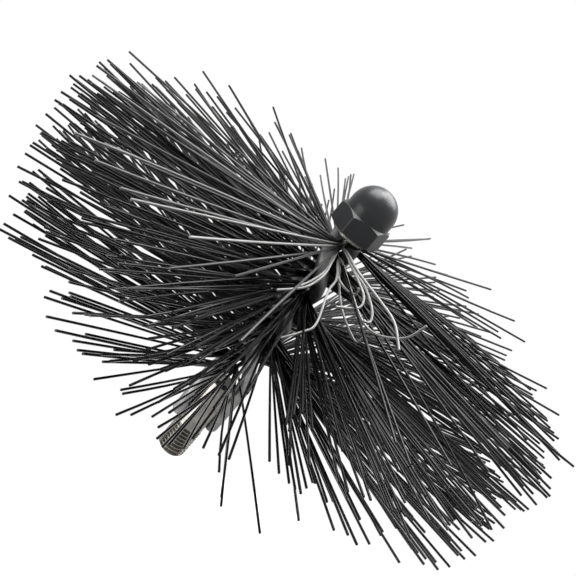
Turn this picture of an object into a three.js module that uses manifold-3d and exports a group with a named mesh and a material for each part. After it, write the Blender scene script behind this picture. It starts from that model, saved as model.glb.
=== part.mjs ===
// A twisted-wire nylon brush: two steel core wires twisted round bristle tufts, welded to a threaded
// stud at the rear and to a short stud at the front that carries a domed acorn nut.
// Millimetres, +Z along the brush axis towards the acorn nut, rear stud face at Z = 0.
import * as THREE from "three";
import { mergeVertices } from "three/addons/utils/BufferGeometryUtils.js";
import Module from "manifold-3d";

// Threads and studs
const THREAD_DIAMETER = 12;
const THREAD_PITCH = 1.75;
const THREAD_DEPTH = 1.05;
const THREAD_CHAMFER = 1.1;
const REAR_THREAD_LENGTH = 15;
const REAR_SHANK_LENGTH = 25;
const REAR_SHANK_DIAMETER = 11.6;
const SHANK_CHAMFER = 1.5;
const FRONT_THREAD_LENGTH = 11.5;
const COLLAR_THICKNESS = 1.8;

// Core wires and their twist
const WIRE_DIAMETER = 5.5;
const BRISTLE_SLOT = 2;
const SEAT_OFFSET = 7.9;
const WIRE_END_INSET = 0.8;
const RUN_IN_LENGTH = 13;
const TWISTED_LENGTH = 69.7;
const TWIST_TURNS = 1.66;
const REAR_WIRE_ANGLE = 0;

// Acorn nut
const ACROSS_FLATS = 19;
const HEX_HEIGHT = 8.2;
const DOME_DIAMETER = 18.4;
const NUT_HEIGHT = 20;
const CORNER_CHAMFER_HEIGHT = 1.1;
const BORE_TIP_LENGTH = 2;
const NUT_ANGLE_DEGREES = 17.9;
const BORE_CLEARANCE = 0.35;

// Bristle tufts
const BRUSH_DIAMETER = 228;
const TUFTS_PER_ROW = 20;
const TUFT_GAP = 0.45;
const TUFT_END_MARGIN = 1.5;
const SLOT_CLEARANCE = 0.35;
const ROOT_HALF_GAP = 0.3;
const ROOT_LENGTH = 5.2;
const STRAND_START = 5;
const STRAND_ROOT_RADIUS = 0.25;
const STRAND_TIP_RADIUS = 0.75;
const STRANDS_PER_TUFT = 14;
const FRONT_STRANDS = 20;
const THIN_STRANDS = 5;
const THIN_TUFTS = ["tuft_b_18", "tuft_b_19"];

// Angles and shares
const REAR_TUFT_LEAN_DEGREES = 10;
const FRONT_TUFT_LEAN_DEGREES = -3;
const LEAN_SPREAD_DEGREES = 2.2;
const FRONT_FAN_DEGREES = [-100, 12];
const SHORTEST_STRAND_SHARE = 0.88;
const LEAN_STEP_SHARE = 0.63;
const LENGTH_STEP_SHARE = 0.755;
const TUFT_STEP_SHARE = 0.414;

// Clearance between touching pieces
const SEAT_GAP = 0.3;

// Edges shorter than this, left where strands cross near their root, are merged away
const SLIVER_SIZE = 0.02;

// Facets
const WIRE_SIDES = 10;
const TURN_SIDES = 36;
const THREAD_SIDES = 16;
const STRAND_SIDES = 3;
const STEPS_PER_TWIST = 24;

const wireRadius = WIRE_DIAMETER / 2;
const twistOffset = (WIRE_DIAMETER + BRISTLE_SLOT) / 2;
const twistedRadius = twistOffset + wireRadius;
const twistPitch = TWISTED_LENGTH / TWIST_TURNS;
const rearStudLength = REAR_THREAD_LENGTH + REAR_SHANK_LENGTH;
const wireStartZ = REAR_THREAD_LENGTH + WIRE_END_INSET;
const twistStartZ = rearStudLength + RUN_IN_LENGTH / 2;
const wireEndZ = twistStartZ + TWISTED_LENGTH;
const collarStartZ = wireEndZ + SEAT_GAP;
const collarEndZ = collarStartZ + COLLAR_THICKNESS;
const nutStartZ = collarEndZ + SEAT_GAP;
const hexCornerRadius = ACROSS_FLATS / Math.sqrt(3);

const wasm = await Module();
wasm.setup();

function solidOf(geometry) {
  const bare = geometry.clone();
  bare.deleteAttribute("normal");
  bare.deleteAttribute("uv");
  const merged = mergeVertices(bare, 1e-4);
  return new wasm.Manifold(
    new wasm.Mesh({
      numProp: 3,
      vertProperties: merged.attributes.position.array,
      triVerts: new Uint32Array(merged.index.array),
    }),
  );
}

function geometryOf(solid) {
  const mesh = solid.getMesh();
  const geometry = new THREE.BufferGeometry();
  geometry.setAttribute("position", new THREE.BufferAttribute(mesh.vertProperties, 3));
  geometry.setIndex(new THREE.BufferAttribute(mesh.triVerts, 1));
  const flat = geometry.toNonIndexed();
  flat.computeVertexNormals();
  return flat;
}

// A lathe about Z from points of radius and height.
function turned(points, sides = TURN_SIDES) {
  const profile = points.map(([radius, height]) => new THREE.Vector2(radius, height));
  return new THREE.LatheGeometry(profile, sides).rotateX(Math.PI / 2);
}

function cylinder(radius, length, sides) {
  return new THREE.CylinderGeometry(radius, radius, length, sides).rotateX(Math.PI / 2);
}

function radialVector(angle) {
  return new THREE.Vector3(Math.cos(angle), Math.sin(angle), 0);
}

// The twist runs left-handed: the wires turn backwards as Z grows.
function wireAngleAt(z) {
  const past = Math.max(0, z - twistStartZ + RUN_IN_LENGTH / 2);
  const eased = past < RUN_IN_LENGTH ? (past * past) / (2 * RUN_IN_LENGTH) : past - RUN_IN_LENGTH / 2;
  return REAR_WIRE_ANGLE - (2 * Math.PI * eased) / twistPitch;
}

function wireOffsetAt(z) {
  const share = THREE.MathUtils.smoothstep(z, rearStudLength, rearStudLength + RUN_IN_LENGTH);
  return THREE.MathUtils.lerp(SEAT_OFFSET, twistOffset, share);
}

class CoreWireCurve extends THREE.Curve {
  constructor(turn) {
    super();
    this.turn = turn;
  }

  getPoint(share, target = new THREE.Vector3()) {
    const z = THREE.MathUtils.lerp(wireStartZ + wireRadius, wireEndZ, share);
    const radial = radialVector(wireAngleAt(z) + this.turn).multiplyScalar(wireOffsetAt(z));
    return target.set(radial.x, radial.y, z);
  }
}

function makeCoreWire(turn) {
  const section = new THREE.Shape();
  section.absarc(0, 0, wireRadius, 0, 2 * Math.PI, false);
  const curve = new CoreWireCurve(turn);
  const steps = Math.round((STEPS_PER_TWIST * (wireEndZ - wireStartZ)) / twistPitch);
  const rod = new THREE.ExtrudeGeometry(section, {
    steps,
    curveSegments: WIRE_SIDES / 2,
    bevelEnabled: false,
    extrudePath: curve,
  });
  const start = curve.getPoint(0);
  const roundEnd = new THREE.SphereGeometry(wireRadius, WIRE_SIDES, WIRE_SIDES / 2);
  roundEnd.translate(start.x, start.y, start.z);
  const frontCut = cylinder(hexCornerRadius, WIRE_DIAMETER, TURN_SIDES);
  frontCut.translate(0, 0, wireEndZ + WIRE_DIAMETER / 2);
  return solidOf(rod).add(solidOf(roundEnd)).subtract(solidOf(frontCut));
}

// A threaded rod whose rows follow the helix, trimmed by a chamfered envelope.
function makeThread(length) {
  const crest = THREAD_DIAMETER / 2;
  const rowRadii = [crest, crest - THREAD_DEPTH, crest - THREAD_DEPTH, crest];
  const rowsPerTurn = rowRadii.length;
  const turns = Math.ceil(length / THREAD_PITCH) + 2;
  const rows = turns * rowsPerTurn;
  const positions = [];
  const index = [];
  const vertexAt = (column, row) => {
    const wrapped = column === THREAD_SIDES;
    return (wrapped ? 0 : column) * (rows + rowsPerTurn + 1) + row + (wrapped ? rowsPerTurn : 0);
  };
  for (let column = 0; column < THREAD_SIDES; column += 1) {
    for (let row = 0; row <= rows + rowsPerTurn; row += 1) {
      const radial = radialVector((2 * Math.PI * column) / THREAD_SIDES);
      radial.multiplyScalar(rowRadii[row % rowsPerTurn]);
      const z = THREAD_PITCH * (row / rowsPerTurn + column / THREAD_SIDES - 1);
      positions.push(radial.x, radial.y, z - THREAD_PITCH);
    }
  }
  const lowCentre = positions.length / 3;
  positions.push(0, 0, -2 * THREAD_PITCH);
  const highCentre = lowCentre + 1;
  positions.push(0, 0, THREAD_PITCH * turns);
  for (let column = 0; column < THREAD_SIDES; column += 1) {
    for (let row = 0; row < rows; row += 1) {
      const a = vertexAt(column, row);
      const b = vertexAt(column + 1, row);
      index.push(a, b, b + 1, a, b + 1, a + 1);
    }
    index.push(lowCentre, vertexAt(column + 1, 0), vertexAt(column, 0));
    index.push(highCentre, vertexAt(column, rows), vertexAt(column + 1, rows));
  }
  for (let row = 0; row < rowsPerTurn; row += 1) {
    index.push(lowCentre, vertexAt(0, row), vertexAt(0, row + 1));
    index.push(highCentre, vertexAt(0, rows + row + 1), vertexAt(0, rows + row));
  }
  const rod = new THREE.BufferGeometry();
  rod.setAttribute("position", new THREE.Float32BufferAttribute(positions, 3));
  rod.setIndex(index);
  const envelope = turned([
    [0, 0],
    [crest - THREAD_CHAMFER, 0],
    [crest, THREAD_CHAMFER],
    [crest, length],
    [0, length],
  ]);
  return solidOf(rod).intersect(solidOf(envelope));
}

function makeRearStud() {
  const shankRadius = REAR_SHANK_DIAMETER / 2;
  const shank = turned([
    [0, REAR_THREAD_LENGTH - THREAD_PITCH],
    [shankRadius - THREAD_DEPTH, REAR_THREAD_LENGTH - THREAD_PITCH],
    [shankRadius, REAR_THREAD_LENGTH - THREAD_PITCH + THREAD_DEPTH],
    [shankRadius, rearStudLength - SHANK_CHAMFER],
    [shankRadius - SHANK_CHAMFER, rearStudLength],
    [0, rearStudLength],
  ]);
  let stud = makeThread(REAR_THREAD_LENGTH).add(solidOf(shank));
  for (const turn of [0, Math.PI]) {
    const seat = cylinder(wireRadius + SEAT_GAP, 2 * REAR_SHANK_LENGTH, WIRE_SIDES * 2);
    const place = radialVector(REAR_WIRE_ANGLE + turn).multiplyScalar(SEAT_OFFSET);
    seat.translate(place.x, place.y, REAR_THREAD_LENGTH + REAR_SHANK_LENGTH);
    stud = stud.subtract(solidOf(seat));
  }
  return stud;
}

function makeFrontStud() {
  const collar = turned([
    [0, 0],
    [twistedRadius, 0],
    [twistedRadius, COLLAR_THICKNESS],
    [0, COLLAR_THICKNESS],
  ]);
  const thread = makeThread(FRONT_THREAD_LENGTH + COLLAR_THICKNESS / 2).rotate([180, 0, 0]);
  return solidOf(collar).add(thread.translate([0, 0, COLLAR_THICKNESS + FRONT_THREAD_LENGTH]));
}

// The nut stands on its rear face at Z = 0.
function makeAcornNut() {
  const hex = new THREE.CylinderGeometry(hexCornerRadius, hexCornerRadius, HEX_HEIGHT, 6);
  hex.rotateX(Math.PI / 2).translate(0, 0, HEX_HEIGHT / 2);
  const faceRadius = ACROSS_FLATS / 2;
  const chamferCone = turned([
    [0, 0],
    [faceRadius, 0],
    [hexCornerRadius, CORNER_CHAMFER_HEIGHT / 2],
    [hexCornerRadius, HEX_HEIGHT - CORNER_CHAMFER_HEIGHT],
    [faceRadius, HEX_HEIGHT],
    [0, HEX_HEIGHT],
  ]);
  const domeRadius = DOME_DIAMETER / 2;
  const domeCentre = NUT_HEIGHT - domeRadius;
  const domePoints = [
    [0, HEX_HEIGHT / 2],
    [domeRadius, HEX_HEIGHT / 2],
  ];
  const domeSteps = TURN_SIDES / 4;
  for (let step = 0; step <= domeSteps; step += 1) {
    const angle = (Math.PI / 2) * (step / domeSteps);
    domePoints.push([domeRadius * Math.cos(angle), domeCentre + domeRadius * Math.sin(angle)]);
  }
  domePoints[domePoints.length - 1][0] = 0;
  const boreRadius = THREAD_DIAMETER / 2 + BORE_CLEARANCE;
  const boreDepth = FRONT_THREAD_LENGTH + SEAT_GAP;
  const bore = turned([
    [0, -SEAT_GAP],
    [boreRadius, -SEAT_GAP],
    [boreRadius, boreDepth],
    [0, boreDepth + BORE_TIP_LENGTH],
  ]);
  const body = solidOf(hex).intersect(solidOf(chamferCone)).add(solidOf(turned(domePoints)));
  return body.subtract(solidOf(bore));
}

// One strand stands for a few filaments that part towards their tips.
function makeStrand(direction, start, reach) {
  const length = reach - STRAND_START;
  const strand = new THREE.CylinderGeometry(STRAND_TIP_RADIUS, STRAND_ROOT_RADIUS, length, STRAND_SIDES);
  strand.translate(0, length / 2, 0);
  strand.applyQuaternion(new THREE.Quaternion().setFromUnitVectors(new THREE.Vector3(0, 1, 0), direction));
  strand.translate(start.x, start.y, start.z);
  return solidOf(strand);
}

// A tuft points along +X from the axis, with the brush axis along Z. Its strands fan out evenly about
// the axis, and their leans and lengths are scattered by steps that don't repeat.
function makeTuft(width, fan, count, tuftLean, scatterStart) {
  const thickness = BRISTLE_SLOT - 2 * SLOT_CLEARANCE;
  const root = new THREE.BoxGeometry(ROOT_LENGTH, thickness, width);
  root.translate(ROOT_HALF_GAP + ROOT_LENGTH / 2, 0, 0);
  const leanSpread = THREE.MathUtils.degToRad(LEAN_SPREAD_DEGREES);
  const sideReach = thickness / 2 - STRAND_ROOT_RADIUS;
  const depthReach = width / 2 - STRAND_ROOT_RADIUS;
  let tuft = solidOf(root);
  for (let order = 0; order < count; order += 1) {
    const fanShare = (order + 0.5) / count;
    const turn = THREE.MathUtils.lerp(fan[0], fan[1], fanShare);
    const scatter = 2 * ((scatterStart + order * LEAN_STEP_SHARE) % 1) - 1;
    const lean = tuftLean + scatter * leanSpread;
    const direction = radialVector(turn).multiplyScalar(Math.cos(lean)).setZ(Math.sin(lean));
    const side = THREE.MathUtils.lerp(-sideReach, sideReach, fanShare);
    const start = new THREE.Vector3(STRAND_START, side, scatter * depthReach);
    const lengthShare = (scatterStart + order * LENGTH_STEP_SHARE) % 1;
    const reach = (BRUSH_DIAMETER / 2) * THREE.MathUtils.lerp(SHORTEST_STRAND_SHARE, 1, lengthShare);
    tuft = tuft.add(makeStrand(direction, start, reach));
  }
  return tuft.simplify(SLIVER_SIZE);
}

const blackenedSteel = { color: 0x26272b, roughness: 0.38, metalness: 0.75 };
const wireSteel = { color: 0x8c8f95, roughness: 0.4, metalness: 0.95 };
const zincSteel = { color: 0xa9a6a0, roughness: 0.35, metalness: 0.95 };
const blackNylon = { color: 0x141417, roughness: 0.45, metalness: 0 };

const brush = new THREE.Group();

function addPiece(name, solid, look, parent = brush) {
  const mesh = new THREE.Mesh(geometryOf(solid), new THREE.MeshStandardMaterial(look));
  mesh.name = name;
  parent.add(mesh);
  return mesh;
}

addPiece("rear_stud", makeRearStud(), zincSteel);
addPiece("core_wire_a", makeCoreWire(0), wireSteel);
addPiece("core_wire_b", makeCoreWire(Math.PI), wireSteel);
addPiece("front_stud", makeFrontStud(), zincSteel).position.z = collarStartZ;
const nut = addPiece("acorn_nut", makeAcornNut(), blackenedSteel);
nut.position.z = nutStartZ;
nut.rotation.z = THREE.MathUtils.degToRad(NUT_ANGLE_DEGREES);

const rowStartZ = rearStudLength + RUN_IN_LENGTH / 2 + TUFT_END_MARGIN;
const rowLength = wireEndZ - TUFT_END_MARGIN - rowStartZ;
const tuftPitch = rowLength / TUFTS_PER_ROW;

function tuftLeanAt(z) {
  const share = (z - rowStartZ) / rowLength;
  const degrees = THREE.MathUtils.lerp(REAR_TUFT_LEAN_DEGREES, FRONT_TUFT_LEAN_DEGREES, share);
  return THREE.MathUtils.degToRad(degrees);
}

function tuftOf(name, number, order, z) {
  const halfFan = (Math.PI * tuftPitch) / twistPitch;
  const front = order === TUFTS_PER_ROW - 1;
  const thin = THIN_TUFTS.includes(name);
  const fan = front ? FRONT_FAN_DEGREES.map(THREE.MathUtils.degToRad) : [-halfFan, halfFan];
  const count = front ? FRONT_STRANDS : thin ? THIN_STRANDS : STRANDS_PER_TUFT;
  return makeTuft(tuftPitch - TUFT_GAP, fan, count, tuftLeanAt(z), number * TUFT_STEP_SHARE);
}

["a", "b"].forEach((row, rowOrder) => {
  for (let order = 0; order < TUFTS_PER_ROW; order += 1) {
    const z = rowStartZ + (order + 0.5) * tuftPitch;
    const place = new THREE.Group();
    place.position.z = z;
    place.rotation.z = wireAngleAt(z) + Math.PI / 2 + rowOrder * Math.PI;
    brush.add(place);
    const name = "tuft_" + row + "_" + String(order + 1).padStart(2, "0");
    const number = rowOrder * TUFTS_PER_ROW + order;
    addPiece(name, tuftOf(name, number, order, z), blackNylon, place);
  }
});

export default brush;
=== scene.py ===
"""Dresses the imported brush: nylon filaments, twisted core wires, threaded studs and a domed acorn nut."""
import math

import bpy
import numpy as np
from mathutils import Matrix, Vector


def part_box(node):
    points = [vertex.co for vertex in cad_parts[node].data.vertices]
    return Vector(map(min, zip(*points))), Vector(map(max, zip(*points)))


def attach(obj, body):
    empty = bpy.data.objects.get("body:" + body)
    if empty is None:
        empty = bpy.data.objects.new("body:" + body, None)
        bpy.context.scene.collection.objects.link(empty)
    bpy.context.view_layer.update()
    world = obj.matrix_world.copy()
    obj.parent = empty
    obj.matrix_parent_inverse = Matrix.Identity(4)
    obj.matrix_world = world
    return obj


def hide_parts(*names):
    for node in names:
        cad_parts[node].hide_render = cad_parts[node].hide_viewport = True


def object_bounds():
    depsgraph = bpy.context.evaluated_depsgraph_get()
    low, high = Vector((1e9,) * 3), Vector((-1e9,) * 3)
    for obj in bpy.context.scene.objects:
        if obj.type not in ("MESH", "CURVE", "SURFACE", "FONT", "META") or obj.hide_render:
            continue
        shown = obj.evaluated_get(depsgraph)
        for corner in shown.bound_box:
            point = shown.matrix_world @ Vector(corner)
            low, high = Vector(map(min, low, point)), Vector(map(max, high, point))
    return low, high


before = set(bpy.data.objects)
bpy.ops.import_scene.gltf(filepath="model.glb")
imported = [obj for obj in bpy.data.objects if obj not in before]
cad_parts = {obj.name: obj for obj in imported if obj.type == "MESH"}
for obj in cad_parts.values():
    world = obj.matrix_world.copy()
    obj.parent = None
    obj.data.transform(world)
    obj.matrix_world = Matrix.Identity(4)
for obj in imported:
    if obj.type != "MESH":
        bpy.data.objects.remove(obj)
cad_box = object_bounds()

MM = 0.001
SEED = 11

# Sizes of the metal pieces, as in the CAD
THREAD_RADIUS = 6 * MM
THREAD_PITCH = 1.75 * MM
THREAD_DEPTH = 1.05 * MM
THREAD_CHAMFER = 1.1 * MM
REAR_THREAD_LENGTH = 15 * MM
SHANK_RADIUS = 5.8 * MM
SHANK_CHAMFER = 1.5 * MM
WIRE_RADIUS = 2.75 * MM
SEAT_GAP = 0.3 * MM
SEAT_OFFSET = 7.9 * MM
TWIST_OFFSET = 3.75 * MM
RUN_IN_LENGTH = 13 * MM
TWIST_TURNS = 1.66
ROW_MARGIN = 1.5 * MM
COLLAR_THICKNESS = 1.8 * MM
ACROSS_FLATS = 19 * MM
NUT_ANGLE = math.radians(17.9)
HEX_HEIGHT = 8.2 * MM
DOME_RADIUS = 9.2 * MM
CORNER_CHAMFER = 1.1 * MM
BORE_RADIUS = 6.35 * MM
BORE_DEPTH = 11.8 * MM
BORE_TIP_LENGTH = 2 * MM

# Finer forms of the metal pieces, which the CAD leaves out
THREAD_CREST_SHARE = 0.12
THREAD_FLANK_SHARE = 0.7
THREAD_FLANK_POWER = 0.9
COLLAR_EDGE = 0.3 * MM
DOME_FILLET = 0.12 * MM
CORNER_TRIM = 0.12 * MM
REAR_FACE_TRIM = 0.1 * MM
BORE_CHAMFER = 0.5 * MM
EDGE_SOFTNESS = 0.16 * MM

# How finely the metal pieces are drawn
STUD_SIDES = 192
NUT_SIDES = 288
WIRE_SIDES = 32
REAR_THREAD_ROWS = 190
FRONT_THREAD_ROWS = 140
SHANK_ROWS = 60
LOW_CHAMFER_ROWS = 12
FLAT_ROWS = 6
HIGH_CHAMFER_ROWS = 34
HIGH_CHAMFER_SHARE = 1.4
DOME_ROWS = 40
WIRE_ROWS = 260
WIRE_END_ROWS = 12
FLAT_POLE_RADIUS = 0.01 * MM
ROUND_POLE_RADIUS = 0.005 * MM
SHANK_STEP = 0.05 * MM
COLLAR_STEP = 0.02 * MM
DOME_STEP = 0.01 * MM
STUD_SMOOTH_ANGLE = math.radians(38)
NUT_SMOOTH_ANGLE = math.radians(24)
WIRE_SMOOTH_ANGLE = math.radians(50)
FILAMENT_SMOOTH_ANGLE = math.radians(65)

# Bristle strands, as in the CAD
BRUSH_RADIUS = 114 * MM
TUFTS_PER_ROW = 20
TUFT_GAP = 0.45 * MM
STRAND_START = 5 * MM
STRAND_SIDE_REACH = 0.4 * MM
STRAND_ROOT_RADIUS = 0.25 * MM
STRANDS_PER_TUFT = 14
FRONT_STRANDS = 20
THIN_STRANDS = 5
THIN_TUFTS = ("tuft_b_18", "tuft_b_19")
FRONT_FAN = (math.radians(-100), math.radians(12))
REAR_LEAN = math.radians(10)
FRONT_LEAN = math.radians(-3)
LEAN_REACH = math.radians(2.2)
SHORTEST_SHARE = 0.88
LEAN_STEP_SHARE = 0.63
LENGTH_STEP_SHARE = 0.755
TUFT_STEP_SHARE = 0.414

# The filaments that part from each strand
FILAMENTS_BY_STRAND = (2, 1, 2)
FRONT_TUFT = "tuft_b_20"
SPARSE_TUFTS = (*THIN_TUFTS, FRONT_TUFT)
FILAMENT_RADIUS = 0.45 * MM
FILAMENT_SIDES = 6
TUBE_GUIDE = (0.01, 0.02, 1.0)
ROOT_RADII = (0.8 * MM, 3 * MM)
ROOT_SIDE_SPREAD = 0.2 * MM
LINE_SHARES = (0.03, 0.12, 0.3, 0.5, 0.7, 0.86, 1)
SIDE_SPREAD = math.radians(11)
LEAN_SPREAD = math.radians(1.8)
LENGTH_SPREAD_SHARE = 0.04
LONGEST_SHARE = 0.995
BOW_SPREAD = 2.6 * MM
SPARSE_SIDE_SPREAD = math.radians(3)
SPARSE_BOW_SPREAD = 4 * MM
CURL_SIDE = 0.3 * MM
PLAIN_SHADES = (0, 0.62)
# Lighter shades for the front tuft: a painted sheen, standing in for light glancing off the nearest
# filaments
PAINTED_SHEEN_SHADES = (0.6, 0.94)
# The bent filaments take the lightest shade: partly the whitening of nylon bent in use, partly a painted
# highlight
CURL_WHITENING_AND_SHEEN_SHADE = 1
CURL_STEPS_PER_SPAN = 6

# Filaments bent in use: points to the right of, above and in front of their root, in millimetres,
# as the camera sees them
CURLS_B_19 = (
    (
        (-1.1, -1.7, 3), (-1.4, -7.1, 9), (0.1, -10.9, 13),
        (2.2, -13.3, 16), (4.1, -13.9, 18), (5, -11.9, 19),
    ),
    (
        (-1.1, -2.6, 5), (-2.2, -8.6, 11), (-5.4, -13.1, 16),
        (-10, -24.3, 25), (-14.9, -27, 28), (-21.9, -29, 31),
    ),
    (
        (-0.3, -2.5, 4), (-1, -9.9, 9), (-0.7, -17.5, 14),
        (1, -24.5, 18), (3.8, -30.4, 21), (6.1, -28.7, 22),
    ),
    (
        (0.7, -2.6, 5), (2.6, -11.5, 12), (6, -22.9, 20),
        (10.7, -28, 26), (19.4, -29, 31), (25.8, -25.1, 34),
    ),
)
CURLS_B_20 = (
    (
        (1.3, -2.1, 4), (3.1, -8.4, 12), (4.9, -13.6, 18),
        (6.1, -19.3, 23), (3.8, -22.8, 26), (-3.8, -22.5, 29),
    ),
    (
        (1.6, -2.9, 5), (3.9, -9.9, 14), (6.8, -15.4, 20),
        (8.5, -23.4, 26), (7.5, -27.5, 29), (5.1, -27.2, 30),
    ),
    (
        (2, -2.2, 5), (4.6, -9.2, 14), (10.6, -19.4, 25),
        (14.9, -27.6, 33), (15.7, -36.7, 39),
    ),
    (
        (-1.1, -1.7, 3), (-3.7, -6.1, 9), (-6.8, -11, 14),
        (-12.6, -15.1, 20), (-18.2, -16.3, 24), (-23.3, -16.8, 27),
    ),
    (
        (-1.8, -1.3, 3), (-4.3, -6.7, 8), (-7.1, -10.2, 13),
        (-12.2, -13.6, 18), (-16.8, -15.5, 22),
    ),
)
CURLS = {"tuft_b_19": CURLS_B_19, FRONT_TUFT: CURLS_B_20}

# Strands whose straight filaments are left out, because the bent ones take their place
BENT_STRANDS = {"tuft_b_19": (0, 1, 2), FRONT_TUFT: (19,)}

# Bounds for the filaments' centre lines
FILAMENT_BOX = (np.array(cad_box[0]) + FILAMENT_RADIUS, np.array(cad_box[1]) - FILAMENT_RADIUS)

# The camera, from a fit to the photograph
AXIS_TILT = math.radians(66.8)
CAMERA_AZIMUTH = math.radians(66.7)
CAMERA_ROLL = math.radians(40.7)
CAMERA_DISTANCE = 0.377
AIM_HEIGHT = 63.5 * MM
IMAGE_SIZE = 576
FOCAL_PIXELS = 978.5
SENSOR_WIDTH = 36
CLIP_START = 0.01
CENTRE_SHIFT_X = -25.7
CENTRE_SHIFT_Y = 51.3

# Lamps: reach to the right, up and towards the camera, then size and watts
LAMPS = {
    "key": ((0.3, 0.8, 0.1), 0.65, 11.5),
    "rim": ((0.6, 0.45, -0.12), 0.6, 9.5),
    "left": ((-0.7, 0.05, 0.3), 0.45, 3.5),
}

# World and floor
WORLD_BRIGHT = 1.0
WORLD_DARK = 0.14
WORLD_TURN = (-0.9, -0.1)
FLOOR_DROP = 0.3
FLOOR_REACH = 0.45
FLOOR_WHITE = 1.5
FLOOR_WHITE_SHARE = 0.7
FLOOR_GREY = 0.9


def camera_axes():
    """The camera's right, up and backward directions in the part's frame."""
    back = Vector(
        (
            math.sin(AXIS_TILT) * math.cos(CAMERA_AZIMUTH),
            math.sin(AXIS_TILT) * math.sin(CAMERA_AZIMUTH),
            math.cos(AXIS_TILT),
        )
    )
    right = Vector((0, 0, 1)).cross(back).normalized()
    up = back.cross(right)
    rolled_right = right * math.cos(CAMERA_ROLL) + up * math.sin(CAMERA_ROLL)
    rolled_up = up * math.cos(CAMERA_ROLL) - right * math.sin(CAMERA_ROLL)
    return rolled_right, rolled_up, back


CAMERA_AXES = camera_axes()


def camera_offset(offset):
    """A vector from millimetres to the right, up and towards the camera."""
    return np.array(sum((axis * reach * MM for axis, reach in zip(CAMERA_AXES, offset)), Vector()))


def node_span(name):
    """The lowest and highest Z of a CAD node."""
    low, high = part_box(name)
    return low[2], high[2]


STUD_TOP = node_span("rear_stud")[1]
WIRE_START, WIRE_END = node_span("core_wire_a")
COLLAR_START, FRONT_STUD_TOP = node_span("front_stud")
NUT_START, NUT_TOP = node_span("acorn_nut")
TWISTED_LENGTH = WIRE_END - STUD_TOP - RUN_IN_LENGTH / 2
TWIST_PITCH = TWISTED_LENGTH / TWIST_TURNS
ROW_START = STUD_TOP + RUN_IN_LENGTH / 2 + ROW_MARGIN
ROW_LENGTH = WIRE_END - ROW_MARGIN - ROW_START


def wire_angle(z):
    """Angle of core wire a about the axis: a left-handed twist that eases in past the rear stud."""
    past = np.maximum(0, z - STUD_TOP)
    eased = np.where(past < RUN_IN_LENGTH, past * past / (2 * RUN_IN_LENGTH), past - RUN_IN_LENGTH / 2)
    return -2 * math.pi * eased / TWIST_PITCH


def wire_offset(z):
    """Distance of each wire's centre line from the axis."""
    share = np.clip((z - STUD_TOP) / RUN_IN_LENGTH, 0, 1)
    smooth = share * share * (3 - 2 * share)
    return SEAT_OFFSET + (TWIST_OFFSET - SEAT_OFFSET) * smooth


# Node helpers for the materials


class Surface:
    """A Principled material with short helpers for its nodes."""

    def __init__(self, name):
        self.material = bpy.data.materials.new(name)
        self.material.use_nodes = True
        self.tree = self.material.node_tree
        self.shader = self.tree.nodes["Principled BSDF"]

    def set(self, **values):
        """Values on the shader's own sockets."""
        for label, value in values.items():
            self.shader.inputs[label.replace("_", " ")].default_value = value

    def node(self, kind, **values):
        """A new node with its properties."""
        made = self.tree.nodes.new(kind)
        for label, value in values.items():
            setattr(made, label, value)
        return made

    def link(self, source, target):
        self.tree.links.new(source, target)

    def noise(self, scale, detail, stretch=(1, 1, 1)):
        """Noise in object space, in metres, scaled along each axis."""
        place = self.node("ShaderNodeTexCoord")
        mapping = self.node("ShaderNodeMapping")
        mapping.inputs["Scale"].default_value = stretch
        texture = self.node("ShaderNodeTexNoise")
        texture.inputs["Scale"].default_value = scale
        texture.inputs["Detail"].default_value = detail
        self.link(place.outputs["Object"], mapping.inputs["Vector"])
        self.link(mapping.outputs["Vector"], texture.inputs["Vector"])
        return texture.outputs["Fac"]

    def ramp(self, source, stops):
        """A colour ramp with (place, grey or colour) stops."""
        made = self.node("ShaderNodeValToRGB")
        elements = made.color_ramp.elements
        while len(elements) < len(stops):
            elements.new(0.5)
        for element, (place, colour) in zip(elements, stops):
            element.position = place
            element.color = (*colour, 1) if isinstance(colour, tuple) else (colour, colour, colour, 1)
        self.link(source, made.inputs["Fac"])
        return made.outputs["Color"]

    def bump(self, source, strength, distance):
        """A fine unevenness from a noise."""
        made = self.node("ShaderNodeBump")
        made.inputs["Strength"].default_value = strength
        made.inputs["Distance"].default_value = distance
        self.link(source, made.inputs["Height"])
        self.link(made.outputs["Normal"], self.shader.inputs["Normal"])


def nylon_material():
    """Black extruded nylon: satin, each filament a little lighter or darker than the next. High shades turn
    light grey: a painted sheen on the front tuft, and on the bent filaments partly stress whitening, partly
    painted highlight.
    """
    surface = Surface("black_nylon")
    surface.set(IOR=1.53, Specular_IOR_Level=0.17)
    shade = surface.node("ShaderNodeAttribute", attribute_name="shade")
    # Shades up to 0.6 are the filaments' own random tone; above that the ramp rises to light grey, a
    # painted sheen and highlight
    colour = surface.ramp(
        shade.outputs["Fac"],
        [(0, 0.0006), (0.6, 0.003), (0.8, (0.05, 0.05, 0.052)), (1, (0.42, 0.42, 0.41))],
    )
    surface.link(colour, surface.shader.inputs["Base Color"])
    grain = surface.noise(scale=400, detail=2)
    rough = surface.ramp(grain, [(0.3, 0.1), (0.7, 0.18)])
    surface.link(rough, surface.shader.inputs["Roughness"])
    surface.bump(grain, strength=0.1, distance=0.03 * MM)
    return surface.material


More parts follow.
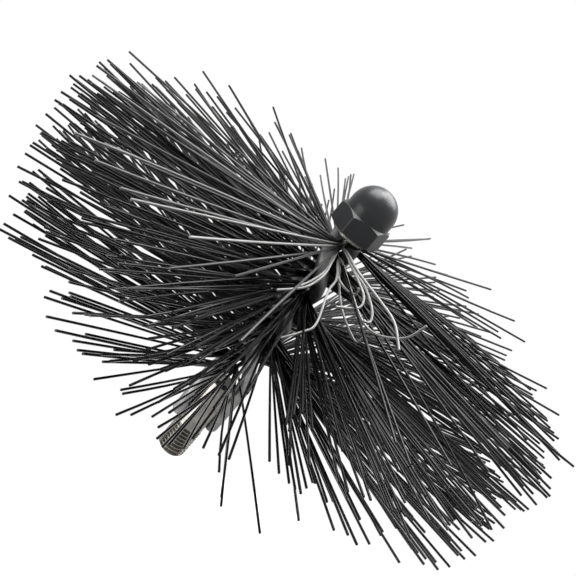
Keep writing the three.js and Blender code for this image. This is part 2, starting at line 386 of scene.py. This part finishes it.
def blackened_material():
    """Satin black finish on the nut, fine-grained, with edges rubbed a little lighter."""
    surface = Surface("blackened_steel")
    surface.set(Specular_IOR_Level=0.38)
    grain = surface.noise(scale=2600, detail=4)
    cloud = surface.noise(scale=180, detail=3)
    geometry = surface.node("ShaderNodeNewGeometry")
    edge = surface.ramp(geometry.outputs["Pointiness"], [(0.5, 0), (0.58, 1)])
    base = surface.ramp(cloud, [(0.35, (0.006, 0.007, 0.009)), (0.7, (0.011, 0.012, 0.015))])
    mix = surface.node("ShaderNodeMix", data_type="RGBA")
    mix.inputs["B"].default_value = (0.06, 0.06, 0.063, 1)
    surface.link(edge, mix.inputs["Factor"])
    surface.link(base, mix.inputs["A"])
    surface.link(mix.outputs["Result"], surface.shader.inputs["Base Color"])
    rough = surface.ramp(grain, [(0.3, 0.3), (0.7, 0.38)])
    surface.link(rough, surface.shader.inputs["Roughness"])
    surface.bump(grain, strength=0.08, distance=0.03 * MM)
    return surface.material


def drawn_steel_material():
    """Drawn wire steel: fine lines along the wire, with darker patches."""
    surface = Surface("drawn_steel")
    surface.set(Metallic=1)
    line = surface.noise(scale=1400, detail=4, stretch=(1, 1, 0.12))
    cloud = surface.noise(scale=140, detail=4)
    colour = surface.ramp(
        cloud,
        [(0.3, (0.12, 0.12, 0.124)), (0.55, (0.21, 0.208, 0.206)), (0.8, (0.33, 0.322, 0.31))],
    )
    surface.link(colour, surface.shader.inputs["Base Color"])
    rough = surface.ramp(line, [(0.3, 0.38), (0.7, 0.55)])
    surface.link(rough, surface.shader.inputs["Roughness"])
    surface.bump(line, strength=0.2, distance=0.05 * MM)
    return surface.material


def zinc_material():
    """Zinc-plated stud: warm grey, a little uneven."""
    surface = Surface("zinc_steel")
    surface.set(Metallic=1)
    cloud = surface.noise(scale=220, detail=4)
    grain = surface.noise(scale=3000, detail=3)
    colour = surface.ramp(cloud, [(0.3, (0.12, 0.114, 0.104)), (0.7, (0.26, 0.248, 0.226))])
    surface.link(colour, surface.shader.inputs["Base Color"])
    rough = surface.ramp(grain, [(0.3, 0.2), (0.7, 0.32)])
    surface.link(rough, surface.shader.inputs["Roughness"])
    surface.bump(grain, strength=0.12, distance=0.03 * MM)
    return surface.material


# Mesh helpers


def make_mesh(name, vertices, faces, material, smooth_angle):
    """A smooth-shaded mesh object from arrays, sharp at edges steeper than an angle."""
    mesh = bpy.data.meshes.new(name)
    mesh.from_pydata([tuple(v) for v in vertices], [], [tuple(f) for f in faces])
    mesh.validate()
    mesh.shade_smooth()
    mesh.set_sharp_from_angle(angle=smooth_angle)
    mesh.materials.append(material)
    made = bpy.data.objects.new(name, mesh)
    bpy.context.scene.collection.objects.link(made)
    return made


def loft(rings):
    """Vertices and faces of a closed skin through rings of equal length, closed by end fans."""
    count = len(rings)
    sides = len(rings[0])
    centres = [np.mean(rings[0], 0), np.mean(rings[-1], 0)]
    vertices = np.concatenate([np.asarray(rings).reshape(-1, 3), centres])
    faces = []
    for ring in range(count - 1):
        for side in range(sides):
            a = ring * sides + side
            b = ring * sides + (side + 1) % sides
            faces.append((a, b, b + sides, a + sides))
    low = count * sides
    high = low + 1
    for side in range(sides):
        following = (side + 1) % sides
        faces.append((low, following, side))
        faces.append((high, (count - 1) * sides + side, (count - 1) * sides + following))
    return vertices, faces


def polar_loft(name, levels, material, sides=STUD_SIDES, smooth_angle=STUD_SMOOTH_ANGLE):
    """A body about the Z axis from (height, radius) levels; a radius may be a function of the angles."""
    angles = np.arange(sides) * 2 * math.pi / sides
    rings = []
    for height, radius in levels:
        reach = radius(angles) if callable(radius) else np.full(sides, radius)
        rings.append(np.stack([reach * np.cos(angles), reach * np.sin(angles), np.full(sides, height)], 1))
    vertices, faces = loft(rings)
    return make_mesh(name, vertices, faces, material, smooth_angle)


def soft_min(a, b, softness):
    """The smaller of two lengths, rounded where they cross."""
    blend = np.clip(0.5 + 0.5 * (b - a) / softness, 0, 1)
    return b + (a - b) * blend - softness * blend * (1 - blend)


def thread_depth_at(turns):
    """Depth below the crest over one turn of the thread, from 0 to 1, with rounded crest and root."""
    share = np.abs(2 * (turns % 1) - 1)
    return np.clip((share - THREAD_CREST_SHARE) / THREAD_FLANK_SHARE, 0, 1) ** THREAD_FLANK_POWER


def threaded_radius(z, chamfer_start, chamfer_end):
    """A function of angle: the thread's radius at height z, trimmed by its chamfered ends."""

    def radius(angles):
        turns = (z - chamfer_start) / THREAD_PITCH - angles / (2 * math.pi)
        reach = THREAD_RADIUS - THREAD_DEPTH * thread_depth_at(turns)
        trim = THREAD_RADIUS - THREAD_CHAMFER + min(z - chamfer_start, chamfer_end - z)
        return np.minimum(reach, trim)

    return radius


# Metal pieces


def build_rear_stud(material):
    """The rear stud: chamfered thread, plain shank with a seat on each side for a core wire."""

    def shank_radius(z):
        """A function of angle: the shank's radius at height z, with its chamfered end and its seats."""

        def radius(angles):
            reach = np.full(len(angles), min(SHANK_RADIUS, SHANK_RADIUS + STUD_TOP - SHANK_CHAMFER - z))
            seat = WIRE_RADIUS + SEAT_GAP
            for turn in (0, math.pi):
                off = angles - turn
                root = seat**2 - (SEAT_OFFSET * np.sin(off)) ** 2
                near = SEAT_OFFSET * np.cos(off) - np.sqrt(np.maximum(root, 0))
                hit = (root > 0) & (np.cos(off) > 0)
                reach = np.where(hit, soft_min(reach, near, EDGE_SOFTNESS), reach)
            return reach

        return radius

    thread_rows = np.linspace(0, REAR_THREAD_LENGTH, REAR_THREAD_ROWS)
    levels = [(0, FLAT_POLE_RADIUS)]
    levels += [(z, threaded_radius(z, 0, REAR_THREAD_LENGTH + THREAD_CHAMFER)) for z in thread_rows]
    shank_rows = np.linspace(REAR_THREAD_LENGTH + SHANK_STEP, STUD_TOP, SHANK_ROWS)
    levels += [(z, shank_radius(z)) for z in shank_rows]
    return polar_loft("stud_rear", levels, material)


def build_front_stud(material):
    """The front stud: a collar against the wires, then the thread inside the nut."""
    collar_radius = TWIST_OFFSET + WIRE_RADIUS
    collar_top = COLLAR_START + COLLAR_THICKNESS
    levels = [
        (COLLAR_START, FLAT_POLE_RADIUS),
        (COLLAR_START, collar_radius - COLLAR_EDGE),
        (COLLAR_START + COLLAR_EDGE, collar_radius),
        (collar_top - COLLAR_EDGE, collar_radius),
        (collar_top, collar_radius - COLLAR_EDGE),
    ]
    rows = np.linspace(collar_top + COLLAR_STEP, FRONT_STUD_TOP, FRONT_THREAD_ROWS)
    levels += [(z, threaded_radius(z, collar_top - 2 * THREAD_CHAMFER, FRONT_STUD_TOP)) for z in rows]
    return polar_loft("stud_front", levels, material)


def hex_radius(angles):
    """A hexagon's radius with slightly rounded corners."""
    phase = (angles - NUT_ANGLE + math.pi / 6) % (math.pi / 3) - math.pi / 6
    face = ACROSS_FLATS / 2 / np.cos(phase)
    corner = ACROSS_FLATS / math.sqrt(3) - CORNER_TRIM
    return soft_min(face, np.full(len(angles), corner), EDGE_SOFTNESS)


def build_acorn_nut(material):
    """The nut: hexagon with turned corner chamfers, and a dome on top. The bore is open at the rear."""
    face = ACROSS_FLATS / 2
    corner = ACROSS_FLATS / math.sqrt(3)

    def hex_at(z):
        """A function of angle: the hexagon's radius at height z, trimmed by the corner chamfers."""
        above = z - NUT_START
        low_trim = face + (corner - face) * above / (CORNER_CHAMFER / 2)
        high_trim = face + (corner - face) * (HEX_HEIGHT - above) / CORNER_CHAMFER
        trim = min(low_trim, high_trim)
        return lambda angles: soft_min(hex_radius(angles), np.full(len(angles), trim), EDGE_SOFTNESS / 2)

    bore_bottom = NUT_START + BORE_DEPTH
    levels = [
        (bore_bottom + BORE_TIP_LENGTH, FLAT_POLE_RADIUS),
        (bore_bottom, BORE_RADIUS),
        (NUT_START + BORE_CHAMFER, BORE_RADIUS),
        (NUT_START, BORE_RADIUS + BORE_CHAMFER),
        (NUT_START, face - REAR_FACE_TRIM),
    ]
    flat_top = HEX_HEIGHT - HIGH_CHAMFER_SHARE * CORNER_CHAMFER
    dense = np.concatenate(
        [
            np.linspace(0, CORNER_CHAMFER, LOW_CHAMFER_ROWS, endpoint=False),
            np.linspace(CORNER_CHAMFER, flat_top, FLAT_ROWS, endpoint=False),
            np.linspace(flat_top, HEX_HEIGHT, HIGH_CHAMFER_ROWS),
        ]
    )
    levels += [(NUT_START + z, hex_at(NUT_START + z)) for z in dense]
    hex_top = NUT_START + HEX_HEIGHT
    dome_centre = NUT_TOP - DOME_RADIUS
    levels.append((hex_top + DOME_STEP, DOME_RADIUS + DOME_FILLET))
    levels.append((hex_top + DOME_FILLET, DOME_RADIUS))
    levels.append((dome_centre, DOME_RADIUS))
    for angle in np.linspace(0, math.pi / 2, DOME_ROWS)[1:]:
        reach = max(DOME_RADIUS * math.cos(angle), ROUND_POLE_RADIUS)
        levels.append((dome_centre + DOME_RADIUS * math.sin(angle), reach))
    return polar_loft("nut_acorn", levels, material, NUT_SIDES, NUT_SMOOTH_ANGLE)


def build_core_wire(name, turn, material):
    """One core wire with a rounded rear end, seated beside the stud and then twisted."""
    heights = np.linspace(WIRE_START + WIRE_RADIUS, WIRE_END, WIRE_ROWS)
    angles = wire_angle(heights) + turn
    offsets = wire_offset(heights)
    centres = np.stack([offsets * np.cos(angles), offsets * np.sin(angles), heights], 1)
    tangents = np.gradient(centres, axis=0)
    tangents /= np.linalg.norm(tangents, axis=1)[:, None]
    out = np.stack([np.cos(angles), np.sin(angles), np.zeros(len(angles))], 1)
    out -= (out * tangents).sum(1)[:, None] * tangents
    out /= np.linalg.norm(out, axis=1)[:, None]
    across = np.cross(tangents, out)
    section = np.arange(WIRE_SIDES) * 2 * math.pi / WIRE_SIDES
    ring_out = np.cos(section)
    ring_across = np.sin(section)
    rings = []
    for angle in np.linspace(math.pi / 2, 0, WIRE_END_ROWS, endpoint=False):
        reach = max(WIRE_RADIUS * math.cos(angle), ROUND_POLE_RADIUS)
        centre = centres[0] - tangents[0] * WIRE_RADIUS * math.sin(angle)
        rings.append(centre + reach * (ring_out[:, None] * out[0] + ring_across[:, None] * across[0]))
    for order, centre in enumerate(centres):
        circle = ring_out[:, None] * out[order] + ring_across[:, None] * across[order]
        ring = centre + WIRE_RADIUS * circle
        ring[:, 2] = np.minimum(ring[:, 2], WIRE_END)
        rings.append(ring)
    vertices, faces = loft(rings)
    return make_mesh(name, vertices, faces, material, WIRE_SMOOTH_ANGLE)


# Bristles


def tuft_lean(z):
    """How far the tuft at height z leans towards the front."""
    share = (z - ROW_START) / ROW_LENGTH
    return REAR_LEAN + (FRONT_LEAN - REAR_LEAN) * share


def heading_of(angle, lean):
    """Unit vector at an angle about the axis, leaning towards the front."""
    return np.array([math.cos(angle) * math.cos(lean), math.sin(angle) * math.cos(lean), math.sin(lean)])


def strand_aims(name, number, order):
    """The CAD strands of one tuft: angle from the row, lean, two root offsets and length of each."""
    pitch = ROW_LENGTH / TUFTS_PER_ROW
    half_fan = math.pi * pitch / TWIST_PITCH
    front = order == TUFTS_PER_ROW - 1
    low, high = FRONT_FAN if front else (-half_fan, half_fan)
    count = FRONT_STRANDS if front else THIN_STRANDS if name in THIN_TUFTS else STRANDS_PER_TUFT
    depth_reach = (pitch - TUFT_GAP) / 2 - STRAND_ROOT_RADIUS
    lean = tuft_lean(ROW_START + (order + 0.5) * pitch)
    for strand in range(count):
        fan_share = (strand + 0.5) / count
        scatter = 2 * ((number * TUFT_STEP_SHARE + strand * LEAN_STEP_SHARE) % 1) - 1
        length_share = (number * TUFT_STEP_SHARE + strand * LENGTH_STEP_SHARE) % 1
        yield (
            low + (high - low) * fan_share,
            lean + scatter * LEAN_REACH,
            STRAND_SIDE_REACH * (2 * fan_share - 1),
            scatter * depth_reach,
            SHORTEST_SHARE + (1 - SHORTEST_SHARE) * length_share,
        )


def root_points(z, row_angle, side):
    """Points from the axis out through the slot between the wires."""
    outward = heading_of(row_angle, 0)
    across = np.array([-outward[1], outward[0], 0])
    radii = (*ROOT_RADII, STRAND_START)
    return [np.array([0, 0, z]) + across * side + outward * radius for radius in radii]


def straight_filament(z, row_angle, aim, side_spread, bow_spread, random):
    """Points of one filament: out through the slot, then a nearly straight run beside its strand."""
    turn, lean, side, depth, length_share = aim
    side += random.uniform(-ROOT_SIDE_SPREAD, ROOT_SIDE_SPREAD)
    points = root_points(z + depth, row_angle, side)
    heading = heading_of(
        row_angle + turn + random.normal(0, side_spread),
        lean + random.normal(0, LEAN_SPREAD),
    )
    knee = points[-1]
    share = min(LONGEST_SHARE, length_share * (1 + random.normal(0, LENGTH_SPREAD_SHARE)))
    reach = BRUSH_RADIUS * share - STRAND_START
    bow_turn = random.uniform(0, 2 * math.pi)
    upward = np.array([0, 0, 1])
    bow_way = np.cross(heading, upward) * math.cos(bow_turn) + upward * math.sin(bow_turn)
    bow = random.normal(0, bow_spread)
    for share in LINE_SHARES:
        points.append(knee + heading * reach * share + bow_way * bow * share * share)
    return np.clip(points, *FILAMENT_BOX)


def curled_filament(z, row_angle, offsets):
    """Points of a filament bent in use: a smooth curve through offsets given in the camera's axes."""
    points = root_points(z, row_angle, CURL_SIDE)
    knots = [points[-1] + camera_offset(offset) for offset in offsets]
    chain = [points[-2], points[-1], *knots, 2 * knots[-1] - knots[-2]]
    for before, start, end, after in zip(chain, chain[1:], chain[2:], chain[3:]):
        for step in range(1, CURL_STEPS_PER_SPAN + 1):
            t = step / CURL_STEPS_PER_SPAN
            points.append(
                0.5
                * (
                    2 * start
                    + (end - before) * t
                    + (2 * before - 5 * start + 4 * end - after) * t**2
                    + (3 * start - before - 3 * end + after) * t**3
                )
            )
    return np.array(points)


def tube_rings(points, radius, sides):
    """Rings of a thin tube along points, turned by a guide that no filament follows."""
    tangents = np.gradient(points, axis=0)
    tangents /= np.linalg.norm(tangents, axis=1)[:, None]
    first = np.cross(tangents, TUBE_GUIDE)
    first /= np.linalg.norm(first, axis=1)[:, None]
    second = np.cross(tangents, first)
    section = np.arange(sides) * 2 * math.pi / sides
    along_first = np.cos(section)[None, :, None] * first[:, None, :]
    along_second = np.sin(section)[None, :, None] * second[:, None, :]
    return points[:, None, :] + radius * (along_first + along_second)


def tuft_paths(name, number, order, side_turn, random):
    """The paths and shades of one tuft's filaments. The foremost tuft fans out round the wires' end."""
    z = ROW_START + (order + 0.5) * ROW_LENGTH / TUFTS_PER_ROW
    row_angle = float(wire_angle(np.array(z))) + math.pi / 2 + side_turn
    paths = []
    bent = BENT_STRANDS.get(name, ())
    sparse = name in SPARSE_TUFTS
    spreads = (SPARSE_SIDE_SPREAD, SPARSE_BOW_SPREAD) if sparse else (SIDE_SPREAD, BOW_SPREAD)
    for strand, aim in enumerate(strand_aims(name, number, order)):
        cycle_place = len(paths) % len(FILAMENTS_BY_STRAND)
        count = 1 if sparse else FILAMENTS_BY_STRAND[cycle_place]
        if strand not in bent:
            paths += [straight_filament(z, row_angle, aim, *spreads, random) for _ in range(count)]
    # The front tuft's filaments take the lighter shades of the painted sheen
    shade_range = PAINTED_SHEEN_SHADES if name == FRONT_TUFT else PLAIN_SHADES
    shades = [random.uniform(*shade_range) for _ in paths]
    # Bent filaments get the lightest shade, partly stress whitening and partly painted highlight
    curls = CURLS.get(name, ())
    paths += [curled_filament(z, row_angle, offsets) for offsets in curls]
    return paths, shades + [CURL_WHITENING_AND_SHEEN_SHADE] * len(curls)


def build_tuft(name, paths, path_shades, material):
    """One tuft: its filaments as thin tubes in one mesh, each with its own shade."""
    all_vertices = []
    all_faces = []
    shades = []
    offset = 0
    for points, shade in zip(paths, path_shades):
        vertices, faces = loft(tube_rings(points, FILAMENT_RADIUS, FILAMENT_SIDES))
        all_vertices.append(vertices)
        all_faces += [tuple(index + offset for index in face) for face in faces]
        shades += [shade] * len(vertices)
        offset += len(vertices)
    made = make_mesh(name, np.concatenate(all_vertices), all_faces, material, FILAMENT_SMOOTH_ANGLE)
    attribute = made.data.attributes.new("shade", "FLOAT", "POINT")
    attribute.data.foreach_set("value", shades)
    return made


# Stage


def place_camera():
    """The photograph's viewpoint, from a fit to the nut's corners and the stud's end."""
    back = CAMERA_AXES[2]
    data = bpy.data.cameras.new("camera")
    data.sensor_width = SENSOR_WIDTH
    data.lens = SENSOR_WIDTH * FOCAL_PIXELS / IMAGE_SIZE
    data.shift_x = -CENTRE_SHIFT_X / IMAGE_SIZE
    data.shift_y = CENTRE_SHIFT_Y / IMAGE_SIZE
    data.clip_start = CLIP_START
    camera = bpy.data.objects.new("camera", data)
    place = Vector((0, 0, AIM_HEIGHT)) + back * CAMERA_DISTANCE
    camera.matrix_world = Matrix.Translation(place) @ Matrix(CAMERA_AXES).transposed().to_4x4()
    bpy.context.scene.collection.objects.link(camera)
    bpy.context.scene.camera = camera


def add_softbox(name, place, size, watts):
    """A square lamp, placed by its reach to the right, up and towards the camera."""
    aim = Vector((0, 0, AIM_HEIGHT))
    data = bpy.data.lights.new(name, "AREA")
    data.shape = "SQUARE"
    data.size = size
    data.energy = watts
    made = bpy.data.objects.new(name, data)
    made.location = aim + sum((axis * reach for axis, reach in zip(CAMERA_AXES, place)), Vector())
    made.rotation_euler = (aim - made.location).to_track_quat("-Z", "Y").to_euler()
    bpy.context.scene.collection.objects.link(made)


def light_world():
    """White where it is seen, directly or in metal; as soft light it is darker in front of the brush."""
    world = bpy.data.worlds.new("studio")
    bpy.context.scene.world = world
    world.use_nodes = True
    tree = world.node_tree
    background = tree.nodes["Background"]
    background.inputs["Color"].default_value = (1, 1, 1, 1)
    place = tree.nodes.new("ShaderNodeTexCoord")
    facing = tree.nodes.new("ShaderNodeVectorMath")
    facing.operation = "DOT_PRODUCT"
    facing.inputs[1].default_value = CAMERA_AXES[2]
    level = tree.nodes.new("ShaderNodeMapRange")
    level.inputs["From Min"].default_value = WORLD_TURN[0]
    level.inputs["From Max"].default_value = WORLD_TURN[1]
    level.inputs["To Min"].default_value = WORLD_BRIGHT
    level.inputs["To Max"].default_value = WORLD_DARK
    strength = tree.nodes.new("ShaderNodeMix")
    strength.data_type = "FLOAT"
    strength.inputs["B"].default_value = 1
    tree.links.new(place.outputs["Generated"], facing.inputs[0])
    tree.links.new(facing.outputs["Value"], level.inputs["Value"])
    tree.links.new(level.outputs["Result"], strength.inputs["A"])
    tree.links.new(background_ray(tree), strength.inputs["Factor"])
    tree.links.new(strength.outputs["Result"], background.inputs["Strength"])


def background_ray(tree):
    """One for the rays that should see the pale background: from the camera, or off metal and glass."""
    path = tree.nodes.new("ShaderNodeLightPath")
    seen = path.outputs["Is Camera Ray"]
    for ray in ("Is Glossy Ray", "Is Transmission Ray"):
        either = tree.nodes.new("ShaderNodeMath")
        either.operation = "MAXIMUM"
        tree.links.new(seen, either.inputs[0])
        tree.links.new(path.outputs[ray], either.inputs[1])
        seen = either.outputs[0]
    return seen


def build_floor(drop):
    """A pale floor under the brush, nearly white where it is seen, which keeps the brush's shadow."""
    mesh = bpy.data.meshes.new("floor")
    corners = [(x * FLOOR_REACH, y * FLOOR_REACH, 0) for x, y in ((-1, -1), (1, -1), (1, 1), (-1, 1))]
    mesh.from_pydata(corners, [], [(0, 1, 2, 3)])
    floor = bpy.data.objects.new("floor", mesh)
    floor.location = (0, 0, -drop)
    bpy.context.scene.collection.objects.link(floor)
    surface = Surface("pale_floor")
    surface.set(Base_Color=(FLOOR_GREY, FLOOR_GREY, FLOOR_GREY, 1), Roughness=0.8)
    white = surface.node("ShaderNodeEmission")
    white.inputs["Strength"].default_value = FLOOR_WHITE
    share = surface.node("ShaderNodeMath", operation="MULTIPLY")
    share.inputs[1].default_value = FLOOR_WHITE_SHARE
    mix = surface.node("ShaderNodeMixShader")
    output = surface.tree.nodes["Material Output"]
    surface.link(background_ray(surface.tree), share.inputs[0])
    surface.link(share.outputs[0], mix.inputs["Fac"])
    surface.link(surface.shader.outputs["BSDF"], mix.inputs[1])
    surface.link(white.outputs["Emission"], mix.inputs[2])
    surface.link(mix.outputs["Shader"], output.inputs["Surface"])
    mesh.materials.append(surface.material)


def main():
    """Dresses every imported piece, then places the camera, the lamps, the world and the floor."""
    nylon = nylon_material()
    drawn = drawn_steel_material()
    zinc = zinc_material()
    black = blackened_material()
    pieces = [
        (build_rear_stud(zinc), "rear_stud", "core", "zinc_steel"),
        (build_front_stud(zinc), "front_stud", "core", "zinc_steel"),
        (build_core_wire("wire_a", 0, drawn), "core_wire_a", "core", "wire_steel"),
        (build_core_wire("wire_b", math.pi, drawn), "core_wire_b", "core", "wire_steel"),
        (build_acorn_nut(black), "acorn_nut", "nut", "black_steel"),
    ]
    random = np.random.default_rng(SEED)
    for row_order, row in enumerate("ab"):
        for order in range(TUFTS_PER_ROW):
            node = f"tuft_{row}_{order + 1:02d}"
            number = row_order * TUFTS_PER_ROW + order
            paths, shades = tuft_paths(node, number, order, row_order * math.pi, random)
            tuft = build_tuft(f"bristles_{row}_{order + 1:02d}", paths, shades, nylon)
            pieces.append((tuft, node, "core", "nylon"))
    for piece, node, body, slot in pieces:
        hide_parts(node)
        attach(piece, body)
    place_camera()
    for name, (place, size, watts) in LAMPS.items():
        add_softbox(name, place, size, watts)
    light_world()
    build_floor(FLOOR_DROP)
    bpy.context.scene.view_settings.view_transform = "Standard"


main()
